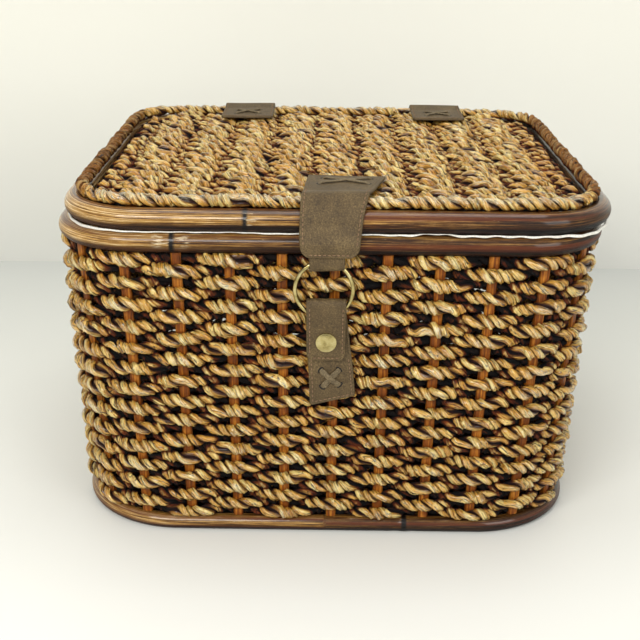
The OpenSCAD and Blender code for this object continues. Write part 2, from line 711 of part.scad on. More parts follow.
module hinge_left_upper() { hinge_upper(hinge_left_x); }
module hinge_right_upper() { hinge_upper(hinge_right_x); }
module hinge_left_lower() { hinge_lower(hinge_left_x); }
module hinge_right_lower() { hinge_lower(hinge_right_x); }
module hinge_left_upper_lacing() { upper_cross(hinge_left_x); }
module hinge_right_upper_lacing() { upper_cross(hinge_right_x); }
module hinge_left_lower_lacing() { lower_cross(hinge_left_x); }
module hinge_right_lower_lacing() { lower_cross(hinge_right_x); }

base_ring();
base_panel();
rim_ring();
woven_wall();
stakes_front();
stakes_right();
stakes_back();
stakes_left();
catch_strap();
catch_lacing();
snap_stud();
hinge_left_lower();
hinge_right_lower();
hinge_left_lower_lacing();
hinge_right_lower_lacing();
lid_ring();
lid_stakes();
lid_weave();
lid_border_rope();
lid_edge_cord();
hinge_left_upper();
hinge_right_upper();
hinge_left_upper_lacing();
hinge_right_upper_lacing();
flap_anchor();
flap_lacing();
front_flap();
ring_loop();
o_ring();
snap_strap();
snap_socket();
snap_cap();
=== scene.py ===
import math
import bpy
import numpy as np
from mathutils import Matrix, Vector


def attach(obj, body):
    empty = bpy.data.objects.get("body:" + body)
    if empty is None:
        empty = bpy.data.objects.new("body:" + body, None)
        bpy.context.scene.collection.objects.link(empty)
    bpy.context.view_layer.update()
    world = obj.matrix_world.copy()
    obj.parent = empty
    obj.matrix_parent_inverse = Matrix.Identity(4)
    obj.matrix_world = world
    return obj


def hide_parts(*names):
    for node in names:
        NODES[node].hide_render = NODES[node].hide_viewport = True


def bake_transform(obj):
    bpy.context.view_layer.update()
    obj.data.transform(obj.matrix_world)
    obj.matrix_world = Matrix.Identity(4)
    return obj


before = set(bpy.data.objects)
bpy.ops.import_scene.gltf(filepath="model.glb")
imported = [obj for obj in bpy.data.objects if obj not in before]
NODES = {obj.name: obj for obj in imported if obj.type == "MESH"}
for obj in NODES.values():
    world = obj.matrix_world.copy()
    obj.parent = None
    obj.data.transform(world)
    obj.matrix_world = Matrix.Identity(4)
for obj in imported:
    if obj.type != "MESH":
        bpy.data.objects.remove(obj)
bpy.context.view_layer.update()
MM = 0.001

# ---------------------------------------------------------------- sizes of the basket, in millimetres
# A line is a rounded rectangle: its width, depth and corner radius
BODY_W, BODY_D, RIM_Z, TAPER = 400.0, 362.0, 231.7, 6.3
RIM_D, LID_D, BASE_D, BORDER_D = 15.0, 16.5, 12.0, 10.0
TOP_CORNER, FOOT_CORNER = 63, 80
GAP = 0.3
BASE_Z = BASE_D / 2 - 0.4
LID_Z = RIM_Z + RIM_D / 2 + GAP + LID_D / 2
RIM_LINE = np.array([BODY_W - RIM_D, BODY_D - RIM_D, TOP_CORNER - RIM_D / 2])
LID_LINE = np.array([BODY_W - LID_D, BODY_D - LID_D, TOP_CORNER - LID_D / 2])
BASE_LINE = np.array([BODY_W - 2 * TAPER - BASE_D, BODY_D - 2 * TAPER - BASE_D, FOOT_CORNER - BASE_D / 2])
LID_SHIFT = 5.3
WALL_Z0, WALL_Z1 = BASE_Z + BASE_D / 2 + GAP, RIM_Z - RIM_D / 2 - GAP
ROWS, GROWTH, STAKES = 26, 0.14, 36
FRONT_GAPS, FRONT_PITCH, FRONT_OFF = 8, 36.3, 3.6
LID_STAKES, LID_PITCH = 9, 36.0
ROW_STEP = 3.9
FIELD_Z = LID_Z + 6.2


def inward(q, by):
    return np.array([q[0] - 2 * by, q[1] - 2 * by, q[2] - by])


WALL_FOOT, WALL_HEAD = inward(BASE_LINE, 1), inward(RIM_LINE, 1)
BORDER_LINE = inward(LID_LINE, BORDER_D / 2)
BORDER_Z = LID_Z + math.sqrt(((LID_D + BORDER_D) / 2) ** 2 - (BORDER_D / 2) ** 2)
FIELD_LINE = inward(BORDER_LINE, BORDER_D / 2)


def run_lengths(q):
    """Lengths of the eight runs of a line, straight ones and corners in turn."""
    return np.array([math.pi * q[2] / 2 if i % 2 else (q[0] if i % 4 == 0 else q[1]) - 2 * q[2] for i in range(8)])


def on_runs(run, f, q):
    """Point and outward direction on a rounded rectangle, by run and share of the run; q has a row for each."""
    q = np.broadcast_to(q, (len(run), 3))
    turn = np.pi / 2 * (run // 2)
    flat = run % 4 < 2
    along, deep = np.where(flat, q[:, 0], q[:, 1]), np.where(flat, q[:, 1], q[:, 0])
    r, h = q[:, 2], along / 2 - q[:, 2]
    t = np.where(run % 2 == 0, -np.pi / 2, -np.pi / 2 + np.pi / 2 * f)
    x = np.where(run % 2 == 0, 2 * h * f - h, h + r * np.cos(t))
    y = np.where(run % 2 == 0, -deep / 2, r - deep / 2 + r * np.sin(t))
    c, s = np.cos(turn), np.sin(turn)
    nx, ny = np.cos(t), np.sin(t)
    return np.c_[x * c - y * s, x * s + y * c], np.c_[nx * c - ny * s, nx * s + ny * c]


def place(s, lengths, start):
    """Run and share of the run for distances s from the middle of the front."""
    total = lengths.sum()
    s = np.mod(s + start, total)
    edges = np.r_[0, np.cumsum(lengths)]
    run = np.clip(np.searchsorted(edges, s, side="right") - 1, 0, 7)
    return run, (s - edges[run]) / lengths[run]


def line_round(q, count):
    """Round a line in even steps: distance, its whole, point, outward direction, and how near a corner's middle."""
    lengths = run_lengths(q)
    s = np.linspace(0, lengths.sum(), count, endpoint=False)
    run, f = place(s, lengths, q[0] / 2 - q[2])
    p, n = on_runs(run, f, q)
    return s, lengths.sum(), p, n, np.where(run % 2 == 1, np.sin(np.pi * f), 0)


MID_LINE = WALL_FOOT + (WALL_HEAD - WALL_FOOT) * ((WALL_Z0 + WALL_Z1) / 2 - BASE_Z) / (RIM_Z - BASE_Z)
MID_ROUND = run_lengths(MID_LINE).sum()
REST_PITCH = (MID_ROUND - FRONT_GAPS * FRONT_PITCH) / (STAKES - FRONT_GAPS)
STAKE_S = np.array([FRONT_OFF - FRONT_GAPS / 2 * FRONT_PITCH
                    + (min(k, FRONT_GAPS) * FRONT_PITCH + max(k - FRONT_GAPS, 0) * REST_PITCH)
                    for k in range(STAKES + 1)])


def along(s, line):
    """Point and outward direction on a line, for distances s round the wall's middle."""
    lengths = run_lengths(line)
    run, f = place(s * lengths.sum() / MID_ROUND, lengths, line[0] / 2 - line[2])
    return on_runs(run, f, line)


def wall_at(s, z, out):
    """Point and outward direction at a place round the wall, a height and an outward step."""
    foot, fn = along(s, WALL_FOOT)
    head, hn = along(s, WALL_HEAD)
    p = foot + (head - foot) * ((z - BASE_Z) / (RIM_Z - BASE_Z))[:, None]
    n = fn + hn
    n = n / np.linalg.norm(n, axis=1, keepdims=True)
    return np.c_[p + n * out[:, None], z], np.c_[n, np.zeros(len(n))]


def furrow_z(j):
    """Height of the furrow under row j; the rows grow towards the rim."""
    g = lambda a: a * (1 - GROWTH / 2) + GROWTH * a * (a - 1) / 2 / (ROWS - 1)
    return WALL_Z0 + (WALL_Z1 - WALL_Z0) * g(j) / g(ROWS)


# ---------------------------------------------------------------- mesh helpers
def new_mesh(name, verts, faces, attrs=None, slots=None):
    """An object from arrays: verts in millimetres, faces as rows of four, slots the material of each face."""
    me = bpy.data.meshes.new(name)
    v = np.asarray(verts, dtype=np.float32) * MM
    me.vertices.add(len(v))
    me.vertices.foreach_set("co", v.ravel())
    f = np.asarray(faces, dtype=np.int32)
    me.loops.add(f.size)
    me.loops.foreach_set("vertex_index", f.ravel())
    me.polygons.add(len(f))
    me.polygons.foreach_set("loop_start", np.arange(0, f.size, 4, dtype=np.int32))
    me.polygons.foreach_set("loop_total", np.full(len(f), 4, dtype=np.int32))
    if slots is not None:
        me.polygons.foreach_set("material_index", np.asarray(slots, dtype=np.int32))
    me.update(calc_edges=True)
    me.validate()
    for key, val in (attrs or {}).items():
        val = np.asarray(val, dtype=np.float32)
        kind, field = ("FLOAT", "value") if val.ndim == 1 else ("FLOAT_VECTOR", "vector")
        me.attributes.new(key, kind, "POINT").data.foreach_set(field, val.ravel())
    me.polygons.foreach_set("use_smooth", np.ones(len(me.polygons), dtype=bool))
    ob = bpy.data.objects.new(name, me)
    bpy.context.scene.collection.objects.link(ob)
    return ob


def join_parts(parts):
    """Stacks (verts, faces, attrs) parts into one."""
    vs, fs, at, n = [], [], {}, 0
    for v, f, a in parts:
        vs.append(v)
        fs.append(np.asarray(f) + n)
        for k, x in a.items():
            at.setdefault(k, []).append(x)
        n += len(v)
    return np.vstack(vs), np.vstack(fs), {k: np.concatenate(x) for k, x in at.items()}


def unit(v):
    return v / np.maximum(np.linalg.norm(v, axis=-1, keepdims=True), 1e-9)


def axes_across(path, side, closed):
    """Two directions across a path; the first is as near to side as it can be."""
    t = unit(np.roll(path, -1, 0) - np.roll(path, 1, 0) if closed else np.gradient(path, axis=0))
    e1 = unit(side - (side * t).sum(1, keepdims=True) * t)
    return e1, np.cross(t, e1)


def quads(rows, sides):
    """Faces between closed rings of vertices that lie one after another."""
    i = np.arange(rows - 1)[:, None] * sides
    j = np.arange(sides)[None]
    return np.stack([i + j, i + (j + 1) % sides, i + sides + (j + 1) % sides, i + sides + j], -1).reshape(-1, 4)


def wave(x, amp, scale, gen):
    """Smooth random curve over x: four sines."""
    y = np.zeros_like(x)
    for _ in range(4):
        y += np.sin(x / scale * gen.uniform(0.5, 1.6) + gen.uniform(0, 6.28)) * gen.uniform(0.5, 1)
    return amp * y / 4 * 1.6


def swell(u, counts, gen):
    """Smooth random curve over u that closes from 0 to 1: one sine for each count."""
    return sum(np.sin(2 * np.pi * (k * u + gen.uniform())) * gen.uniform(-1, 1) for k in counts)


def tube(path, e1, radius, sides, closed, length, squash=1.0, lumps=None, tone=None, seed=0.0, depth=None):
    """A tube round a path. e1 points to the side where the angle is 0; the seam is opposite."""
    e1, e2 = axes_across(path, e1, closed)
    th = np.linspace(-np.pi, np.pi, sides, endpoint=False)
    r = np.asarray(radius)[:, None] * np.ones((1, sides))
    if lumps is not None:
        r = r * lumps
    v = path[:, None, :] + (r * np.cos(th)[None])[..., None] * e1[:, None, :] * squash \
        + (r * np.sin(th)[None])[..., None] * e2[:, None, :]
    n = len(path)
    i = np.arange(n if closed else n - 1)
    a = i[:, None] * sides + np.arange(sides)
    b = ((i + 1) % n)[:, None] * sides + np.arange(sides)
    f = np.stack([a, np.roll(a, -1, 1), np.roll(b, -1, 1), b], -1).reshape(-1, 4)
    fib = np.stack([np.repeat(length * 0.1, sides), np.tile(th, n), np.full(n * sides, seed)], -1)
    cav = np.tile(np.cos(th), n)
    tn = np.repeat(tone if tone is not None else np.zeros(n), sides)
    dp = np.ones(n * sides) if depth is None else depth(v).ravel()
    return v.reshape(-1, 3), f, {"fib": fib, "cav": cav, "tone": tn, "deep": dp}


def capped(part, sides):
    """Closes the two ends of an open tube with a small cone."""
    v, f, a = part
    n = len(v)
    first, last = v[:sides], v[-sides:]
    v = np.vstack([v, first.mean(0), last.mean(0)])
    i = np.arange(sides)
    j = (i + 1) % sides
    f = np.vstack([f, np.c_[j, i, np.full(sides, n), np.full(sides, n)],
                   np.c_[n - sides + i, n - sides + j, np.full(sides, n + 1), np.full(sides, n + 1)]])
    a = {k: np.concatenate([x, x[:1], x[-1:]]) for k, x in a.items()}
    return v, f, a


# How flat a ply is, the millimetres of ply to a blade, and the sides and looseness of a woven rope
PLY_SQUASH, BLADE_EVERY, ROPE_SIDES, ROPE_LOOSE = 0.92, 5.5, 8, 0.12


def blades(path, e1, r, length, closed, gen, depth):
    """Loose leaf-shaped blades of grass that lie along a ply."""
    n, m = len(path), 8
    e1, e2 = axes_across(path, e1, closed)
    step = (length[-1] - length[0]) / (n - 1)
    count = int((length[-1] - length[0]) / BLADE_EVERY)
    at = gen.choice(np.arange(n if closed else n - 12), count, replace=True)
    span = gen.uniform(8, 17, count) / step / (m - 1)
    i = np.round(at[:, None] + np.arange(m)[None] * span[:, None]).astype(int)
    i = i % n if closed else np.clip(i, 0, n - 1)
    k = np.linspace(-1, 1, m)
    th0, drift = gen.uniform(-1.0, 1.0, count), gen.uniform(-0.35, 0.35, count)
    wide = gen.uniform(0.9, 2.0, count)[:, None] * (1 - np.abs(k)[None] ** 2.2)
    lift = gen.uniform(0.1, 0.7, count)[:, None] * (1 - k[None] ** 2) - 0.25 * np.abs(k)[None] ** 6
    verts = []
    for side in (-1, 0, 1):
        th = th0[:, None] + drift[:, None] * k[None] + side * wide / r[i]
        rr = r[i] + lift + (0.28 if side == 0 else -0.05)
        around = PLY_SQUASH * np.cos(th)[..., None] * e1[i] + np.sin(th)[..., None] * e2[i]
        verts.append(path[i] + rr[..., None] * around)
    v = np.stack(verts, 2)
    base = (np.arange(count)[:, None, None] * m + np.arange(m - 1)[None, :, None]) * 3 + np.arange(2)[None, None]
    f = np.stack([base, base + 1, base + 4, base + 3], -1).reshape(-1, 4)
    fib = np.stack(np.broadcast_arrays((length[i] * 0.1)[..., None], th0[:, None, None] + np.array([-0.5, 0, 0.5]),
                                       gen.uniform(0, 90, count)[:, None, None]), -1)
    tone = np.repeat(gen.uniform(-1.2, 3.0, count), m * 3)
    return v.reshape(-1, 3), f, {"fib": fib.reshape(-1, 3), "cav": np.full(count * m * 3, 0.9), "tone": tone,
                                 "deep": depth.at(i[:, :, None], v).ravel()}


class Depth:
    """How far a point stands out from the weave's middle."""

    def __init__(self, mid, normal):
        self.mid, self.normal = mid, normal

    def __call__(self, v):
        return ((v - self.mid[:, None, :]) * self.normal[:, None, :]).sum(-1)

    def at(self, i, v):
        return ((v - self.mid[i]) * self.normal[i]).sum(-1)


def two_ply(center, normal, dia, lay, closed, gen, sides, loose, mid, full):
    """A rope of two plies laid together along a centre line; mid is the weave's middle, for the shade in its depth."""
    dia = dia * full
    nrm, bi = axes_across(center, normal, closed)
    length = np.r_[0, np.cumsum(np.linalg.norm(np.diff(center, axis=0), axis=1))]
    total = length[-1] + (np.linalg.norm(center[0] - center[-1]) if closed else 0)
    turns = max(1, round(total / lay)) if closed else total / lay
    u = length / total
    count = max(3, int(total / 60))
    wob = swell(u, range(count, count * 3, max(1, count // 5)), gen) * 0.5
    phase = 2 * np.pi * turns * u + wob + gen.uniform(0, 6.28)
    fat = 1 + swell(u, (9, 17, 31, 47), gen) * 0.05
    th = np.linspace(-np.pi, np.pi, sides, endpoint=False)
    depth = Depth(mid, normal)
    parts = []
    for ply in (0, 1):
        ph = phase + ply * np.pi
        off = dia * 0.215 * (1 + loose * wave(length, 1, 9, gen))
        d = np.cos(ph)[:, None] * nrm + np.sin(ph)[:, None] * bi
        path = center + off[:, None] * d
        r = dia * (0.28 if ply else 0.26) * fat * (1 + wave(length, 0.13, 5, gen))
        lump = np.ones((len(length), sides))
        for _ in range(3):
            k = gen.integers(1, 4)
            turn = k * th[None] + (length / gen.uniform(4, 12))[:, None] + gen.uniform(0, 6.28)
            lump += 0.13 * (0.6 - np.abs(np.sin(turn)))
        tone = gen.uniform(-0.5, 0.5) + wave(length, 0.6, 22, gen)
        p = tube(path, d, r, sides, closed, length + ply * 7, PLY_SQUASH, lump, tone, gen.uniform(0, 90), depth)
        parts.append(p if closed else capped(p, sides))
        parts.append(blades(path, d, r, length, closed, gen, depth))
    return parts


# ---------------------------------------------------------------- materials
def material(name):
    m = bpy.data.materials.new(name)
    m.use_nodes = True
    nt = m.node_tree
    return m, nt, nt.nodes["Principled BSDF"]


def node(nt, kind, **values):
    n = nt.nodes.new(kind)
    for k, v in values.items():
        if k in n.inputs:
            n.inputs[k].default_value = v
        else:
            setattr(n, k, v)
    return n


def ramp(nt, stops, fac):
    n = nt.nodes.new("ShaderNodeValToRGB")
    els = n.color_ramp.elements
    while len(els) < len(stops):
        els.new(0.5)
    for e, (p, c) in zip(els, stops):
        e.position = p
        e.color = (*c, 1)
    nt.links.new(fac, n.inputs["Fac"])
    return n.outputs["Color"]


def srgb(r, g, b):
    f = lambda c: c / 12.92 if c <= 0.04045 else ((c + 0.055) / 1.055) ** 2.4
    return tuple(f(x / 255) for x in (r, g, b))


def math_node(nt, op, a, b=None, c=None):
    n = nt.nodes.new("ShaderNodeMath")
    n.operation = op
    for i, x in enumerate((a, b, c)):
        if x is None:
            continue
        if isinstance(x, (int, float)):
            n.inputs[i].default_value = x
        else:
            nt.links.new(x, n.inputs[i])
    return n.outputs[0]


def times(nt, a, b):
    return math_node(nt, "MULTIPLY", a, b)


def plus(nt, a, b):
    return math_node(nt, "ADD", a, b)


def madd(nt, a, b, c):
    """a times b, plus c."""
    return math_node(nt, "MULTIPLY_ADD", a, b, c)


def coord(nt, out="Object"):
    return nt.nodes.new("ShaderNodeTexCoord").outputs[out]


def xyz(nt, vec):
    n = nt.nodes.new("ShaderNodeSeparateXYZ")
    nt.links.new(vec, n.inputs[0])
    return n.outputs


def spread(nt, fac, low, high):
    """A share from 0 to 1 as a value from low to high."""
    n = node(nt, "ShaderNodeMapRange", **{"To Min": low, "To Max": high})
    nt.links.new(fac, n.inputs["Value"])
    return n.outputs["Result"]


def attribute(nt, name, out="Fac"):
    n = nt.nodes.new("ShaderNodeAttribute")
    n.attribute_name = name
    return n.outputs[out]


def noise(nt, vec, scale, detail, rough, dist=0.0):
    n = node(nt, "ShaderNodeTexNoise", Scale=scale, Detail=detail, Roughness=rough, Distortion=dist)
    nt.links.new(vec, n.inputs["Vector"])
    return n.outputs["Fac"]


def drawn(nt, vec, stretch, *how):
    """Noise that is finer or coarser along each axis."""
    n = node(nt, "ShaderNodeMapping", Scale=stretch)
    nt.links.new(vec, n.inputs["Vector"])
    return noise(nt, n.outputs["Vector"], *how)


def bump(nt, height, dist, strength=1.0, normal=None):
    n = node(nt, "ShaderNodeBump", Strength=strength, Distance=dist)
    nt.links.new(height, n.inputs["Height"])
    if normal is not None:
        nt.links.new(normal, n.inputs["Normal"])
    return n.outputs["Normal"]


def mix_color(nt, fac, a, b, mode="MIX"):
    n = nt.nodes.new("ShaderNodeMix")
    n.data_type = "RGBA"
    n.blend_type = mode
    for sock, x in ((n.inputs[0], fac), (n.inputs[6], a), (n.inputs[7], b)):
        if isinstance(x, (int, float)):
            sock.default_value = x
        elif isinstance(x, tuple):
            sock.default_value = (*x, 1)
        else:
            nt.links.new(x, sock)
    return n.outputs[2]


BLACK, WHITE = (0, 0, 0), (1, 1, 1)


def rope_material(name, dark, mid, light, pale):
    """Dried seagrass: flat blades along each ply, with painted shade in the creases between plies and blades and in
    the weave's depth, and pale flecks that are partly pale fibres and partly painted highlights.
    """
    m, nt, b = material(name)
    fib = attribute(nt, "fib", "Vector")
    cav = attribute(nt, "cav")
    tone = attribute(nt, "tone")
    sep = xyz(nt, fib)
    wander = drawn(nt, fib, (0.55, 0.35, 1), 1.4, 2, 0.5)
    ang = madd(nt, sep["Y"], 2.0, times(nt, wander, 9.0))
    ang = madd(nt, sep["X"], 1.7, ang)
    blade = math_node(nt, "POWER", math_node(nt, "ABSOLUTE", math_node(nt, "SINE", ang)), 0.55)
    which = drawn(nt, fib, (0.25, 0.9, 1), 1.6, 2, 0.5)
    streak = drawn(nt, fib, (0.9, 3.4, 1), 2.4, 5, 0.65, 0.4)
    fine = drawn(nt, fib, (1.8, 12.0, 1), 3.0, 3, 0.6)
    k = madd(nt, streak, 0.9, madd(nt, fine, 0.35, -0.12))
    k = madd(nt, tone, 0.09, k)
    k = plus(nt, k, madd(nt, which, 0.7, -0.32))
    # Painted shade: each ply is darker on its side towards the other ply and a little lighter on its outer side.
    k = madd(nt, cav, 0.10, k)
    col = ramp(nt, [(0.22, dark), (0.42, mid), (0.60, light), (0.80, pale)], k)
    ply_crease_shade = ramp(nt, [(0.30, srgb(66, 30, 8)), (0.80, WHITE)], madd(nt, cav, 0.5, 0.5))
    col = mix_color(nt, 1.0, col, ply_crease_shade, "MULTIPLY")
    # Painted shade: darker where a point of the rope lies near the weave's middle, as where the rope passes between
    # rows or goes behind a stake.
    out = times(nt, math_node(nt, "ABSOLUTE", attribute(nt, "deep")), 0.1)
    under = ramp(nt, [(0.10, srgb(16, 6, 1)), (0.26, srgb(132, 76, 32)), (0.40, WHITE)], out)
    col = mix_color(nt, 1.0, col, under, "MULTIPLY")
    # Painted shade: dark lines in the creases between the blades.
    blade_crease_shade = ramp(nt, [(0.26, srgb(44, 20, 6)), (0.50, WHITE)], blade)
    col = mix_color(nt, 0.85, col, blade_crease_shade, "MULTIPLY")
    # Pale flecks, more where the rope stands out of the weave: partly pale fibres, partly painted highlights.
    fleck = drawn(nt, fib, (1.3, 7.0, 1), 2.0, 3, 0.6, 0.5)
    pale_fibre_and_glint = times(nt, out, times(nt, fleck, 1.6))
    pale_fibre_and_glint = ramp(nt, [(0.66, BLACK), (0.84, WHITE)], pale_fibre_and_glint)
    col = mix_color(nt, times(nt, pale_fibre_and_glint, 0.85), col, srgb(255, 248, 214))
    scorch = drawn(nt, fib, (1.0, 3.0, 1), 2.2, 4, 0.7, 0.6)
    burn = ramp(nt, [(0.34, srgb(120, 70, 30)), (0.46, WHITE)], scorch)
    col = mix_color(nt, 0.8, col, burn, "MULTIPLY")
    nt.links.new(col, b.inputs["Base Color"])
    shine = ramp(nt, [(0.22, BLACK), (0.5, WHITE)], times(nt, out, madd(nt, cav, 0.3, 0.7)))
    nt.links.new(madd(nt, shine, -0.5, 0.85), b.inputs["Roughness"])
    nt.links.new(shine, b.inputs["Coat Weight"])
    b.inputs["Specular IOR Level"].default_value = 0.3
    b.inputs["Coat Roughness"].default_value = 0.08
    wrinkle = drawn(nt, fib, (1.5, 2.2, 1), 2.4, 3, 0.6, 0.7)
    h = madd(nt, fine, 0.3, madd(nt, streak, 0.5, madd(nt, wrinkle, 0.9, blade)))
    nt.links.new(bump(nt, h, 0.0017), b.inputs["Normal"])
    return m


def cane_material(name, dark, mid, light, band):
    """Stained cane: fine lengthwise grain, worn pale lines, dark scorched patches and a gloss, with painted shade
    where it faces down and towards the right.
    """
    m, nt, b = material(name)
    fib = attribute(nt, "fib", "Vector")
    tone = attribute(nt, "tone")
    worn = attribute(nt, "cav")
    grain = drawn(nt, fib, (0.07, 5.5, 1), 2.0, 7, 0.72)
    fine = drawn(nt, fib, (0.35, 30.0, 1), 2.0, 3, 0.6)
    broad = drawn(nt, fib, (0.045, 1.0, 1), 1.2, 2, 0.5)
    spots = drawn(nt, fib, (0.5, 2.6, 1), 1.6, 4, 0.7)
    k = madd(nt, fine, 0.55, madd(nt, grain, 1.6, -0.62))
    k = plus(nt, k, madd(nt, spots, 0.35, -0.17))
    k = plus(nt, k, madd(nt, broad, 0.7, -0.37))
    # Painted light and shade: lighter towards the left and darker towards the right, as in the photograph
    k = plus(nt, k, times(nt, xyz(nt, coord(nt))["X"], -0.7))
    col = ramp(nt, [(0.26, dark), (0.46, mid), (0.68, light), (0.84, srgb(236, 214, 168))], k)
    red = ramp(nt, [(0.50, BLACK), (0.64, WHITE)], drawn(nt, fib, (0.03, 1.4, 3), 1.1, 2, 0.5))
    col = mix_color(nt, times(nt, red, 0.7), col, band)
    knot = ramp(nt, [(0.25, BLACK), (0.8, WHITE)], tone)
    col = mix_color(nt, knot, col, tuple(c * 0.3 for c in dark))
    rubbed = plus(nt, times(nt, worn, 0.42), madd(nt, spots, 2.2, -1.05))
    pale = ramp(nt, [(0.44, BLACK), (0.62, WHITE)], rubbed)
    col = mix_color(nt, times(nt, pale, 0.75), col, srgb(214, 196, 160))
    facing = madd(nt, grain, 0.3, xyz(nt, coord(nt, "Normal"))["Z"])
    # Painted shade: the colour darkens where the surface faces down.
    underside_shade = ramp(nt, [(0.0, srgb(96, 70, 50)), (0.45, WHITE)], plus(nt, facing, 0.25))
    col = mix_color(nt, 1.0, col, underside_shade, "MULTIPLY")
    nt.links.new(col, b.inputs["Base Color"])
    nt.links.new(ramp(nt, [(0.1, (0.03, 0.03, 0.03)), (0.8, (0.8, 0.8, 0.8))], facing), b.inputs["Coat Weight"])
    b.inputs["Roughness"].default_value = 0.4
    b.inputs["Specular IOR Level"].default_value = 0.2
    b.inputs["Coat Roughness"].default_value = 0.13
    h = madd(nt, fine, 0.5, grain)
    nt.links.new(bump(nt, h, 0.0006, 0.8), b.inputs["Normal"])
    return m


def stake_material(name):
    """Split cane with a grain along its height, orange where it is clean."""
    m, nt, b = material(name)
    pos = coord(nt)
    grain = drawn(nt, pos, (700, 700, 26), 1.0, 5, 0.65)
    cross = drawn(nt, pos, (60, 60, 60), 1.0, 3, 0.6)
    k = madd(nt, cross, 0.5, madd(nt, grain, 0.8, -0.15))
    col = ramp(nt, [(0.28, srgb(36, 13, 2)), (0.50, srgb(118, 60, 10)), (0.74, srgb(204, 136, 46))], k)
    nt.links.new(col, b.inputs["Base Color"])
    b.inputs["Roughness"].default_value = 0.45
    b.inputs["Specular IOR Level"].default_value = 0.2
    nt.links.new(bump(nt, grain, 0.0004, 0.7), b.inputs["Normal"])
    return m


def leather_material(name, dark, mid, light):
    """Dull leather with pores, blots and rubbed places."""
    m, nt, b = material(name)
    pos = coord(nt)
    blot = noise(nt, pos, 55, 4, 0.6)
    grain = node(nt, "ShaderNodeTexVoronoi", Scale=900.0)
    nt.links.new(pos, grain.inputs["Vector"])
    pores = noise(nt, pos, 1000, 3, 0.75)
    rub = noise(nt, pos, 160, 4, 0.75)
    k = madd(nt, pores, 0.75, madd(nt, blot, 0.3, -0.02))
    k = madd(nt, rub, 0.2, k)
    col = ramp(nt, [(0.38, dark), (0.6, mid), (0.82, light)], k)
    nt.links.new(col, b.inputs["Base Color"])
    nt.links.new(spread(nt, rub, 0.5, 0.72), b.inputs["Roughness"])
    b.inputs["Specular IOR Level"].default_value = 0.3
    h = madd(nt, grain.outputs["Distance"], 0.5, pores)
    n1 = bump(nt, h, 0.0004, 0.8)
    nt.links.new(bump(nt, blot, 0.0006, 0.35, n1), b.inputs["Normal"])
    return m


def brass_material(name):
    """Pale brass, tarnished in patches, with fine scratches."""
    m, nt, b = material(name)
    pos = coord(nt)
    tarn = noise(nt, pos, 130, 4, 0.65)
    scr = drawn(nt, pos, (300, 1800, 1800), 1.0, 3, 0.6)
    col = ramp(nt, [(0.3, srgb(122, 104, 58)), (0.52, srgb(176, 162, 110)), (0.8, srgb(212, 200, 154))], tarn)
    nt.links.new(col, b.inputs["Base Color"])
    b.inputs["Metallic"].default_value = 1.0
    nt.links.new(spread(nt, tarn, 0.12, 0.3), b.inputs["Roughness"])
    nt.links.new(bump(nt, scr, 0.00004, 0.5), b.inputs["Normal"])
    return m


def plain_fibre(name, a, c, rough=0.7):
    m, nt, b = material(name)
    pos = coord(nt)
    n = noise(nt, pos, 900, 3, 0.6)
    nt.links.new(ramp(nt, [(0.35, a), (0.7, c)], n), b.inputs["Base Color"])
    b.inputs["Roughness"].default_value = rough
    nt.links.new(bump(nt, n, 0.0001, 0.6), b.inputs["Normal"])
    return m


ROPE = rope_material("seagrass", srgb(86, 42, 7), srgb(182, 116, 26), srgb(238, 176, 66), srgb(255, 226, 138))
POLE = cane_material("stained_cane", srgb(20, 8, 1), srgb(86, 50, 13), srgb(182, 138, 68), srgb(92, 38, 6))
STAKE = stake_material("split_cane")
LEATHER = leather_material("taupe_leather", srgb(46, 36, 22), srgb(80, 64, 39), srgb(122, 103, 68))
THONG = leather_material("thong_leather", srgb(56, 46, 32), srgb(98, 84, 60), srgb(146, 130, 98))
# The holes are dark discs laid on the leather: painted shade.
HOLE_SHADE = plain_fibre("painted_hole_shade", srgb(14, 11, 8), srgb(26, 20, 14), 0.9)
BRASS = brass_material("pale_brass")
THREAD = plain_fibre("thread", srgb(100, 74, 50), srgb(146, 116, 86))
EDGING = plain_fibre("white_edging", srgb(206, 202, 190), srgb(244, 242, 234), 0.45)


def dress(ob, mat):
    """Gives an object its materials, in place of its own where it is a CAD node."""
    if ob.name in NODES:
        ob.data.materials.clear()
    for m in mat if isinstance(mat, tuple) else (mat,):
        ob.data.materials.append(m)
    return ob


# ---------------------------------------------------------------- the wall's rope rows
def flatter(c):
    """A wave from -1 to 1 with broader tops."""
    return np.tanh(0.9 * c) / np.tanh(0.9)


def over_under(s, first):
    """From 1 over a stake to -1 behind it, along distances s; first is the sign at stake 0."""
    r = np.mod(s - STAKE_S[0], MID_ROUND) + STAKE_S[0]
    k = np.clip(np.searchsorted(STAKE_S, r, side="right") - 1, 0, STAKES - 1)
    f = (r - STAKE_S[k]) / (STAKE_S[k + 1] - STAKE_S[k])
    return flatter(np.cos(np.pi * f) * np.where(k % 2 == 0, 1, -1) * first)


